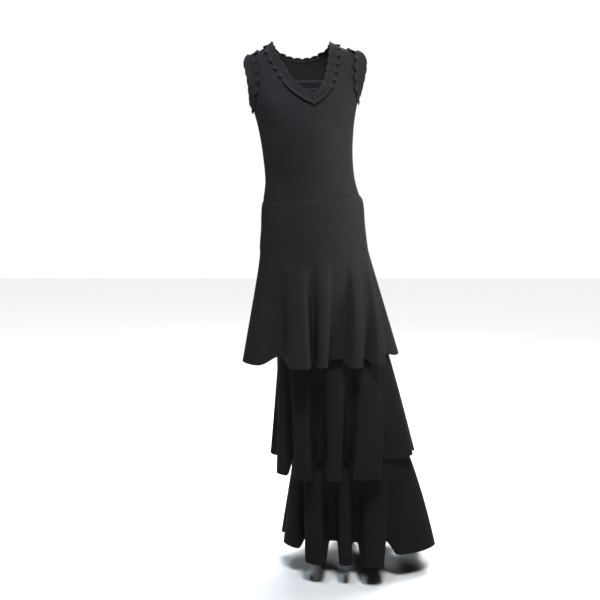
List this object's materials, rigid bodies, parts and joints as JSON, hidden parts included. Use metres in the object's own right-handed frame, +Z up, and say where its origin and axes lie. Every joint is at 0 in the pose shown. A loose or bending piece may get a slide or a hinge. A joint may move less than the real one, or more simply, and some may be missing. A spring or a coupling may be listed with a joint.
{
  "type": "tiered knit dress",
  "caption": "Sleeveless V-neck rib-knit maxi dress, hollow as worn, with scalloped neck and armhole trims, slim neck straps, a fitted hip yoke and fluted flounces.",
  "frame": {"origin": "between the high points of the shoulders, where the neck trim crosses the shoulder seams", "axes": "+Z up along the worn garment, -Y the front, +X to the viewer's right seen from the front"},
  "size_m": [0.5387, 0.3933, 1.4022],
  "materials": {
    "bodice_knit": "matt rib knit, near black, fine vertical ribs",
    "yoke_knit": "matt rib knit, near black, fine horizontal ribs",
    "underskirt_knit": "matt plain knit, near black",
    "flounce_knit": "matt knit, near black, fine horizontal ribs",
    "trim_knit": "soft knit trim, near black, scalloped"
  },
  "bodies": {
    "root": {"bodice_front": "bodice_knit", "bodice_back": "bodice_knit", "yoke_front": "yoke_knit", "yoke_back": "yoke_knit", "underskirt_front": "underskirt_knit", "underskirt_back": "underskirt_knit", "flounce_upper_front": "flounce_knit", "flounce_upper_back": "flounce_knit", "flounce_middle_front": "flounce_knit", "flounce_middle_back": "flounce_knit", "flounce_lower_front": "flounce_knit", "flounce_lower_back": "flounce_knit", "neck_trim_left": "trim_knit", "neck_trim_right": "trim_knit", "neck_trim_back": "trim_knit", "armhole_trim_left": "trim_knit", "armhole_trim_right": "trim_knit", "strap_upper": "trim_knit", "strap_lower": "trim_knit"}
  },
  "joints": []
}
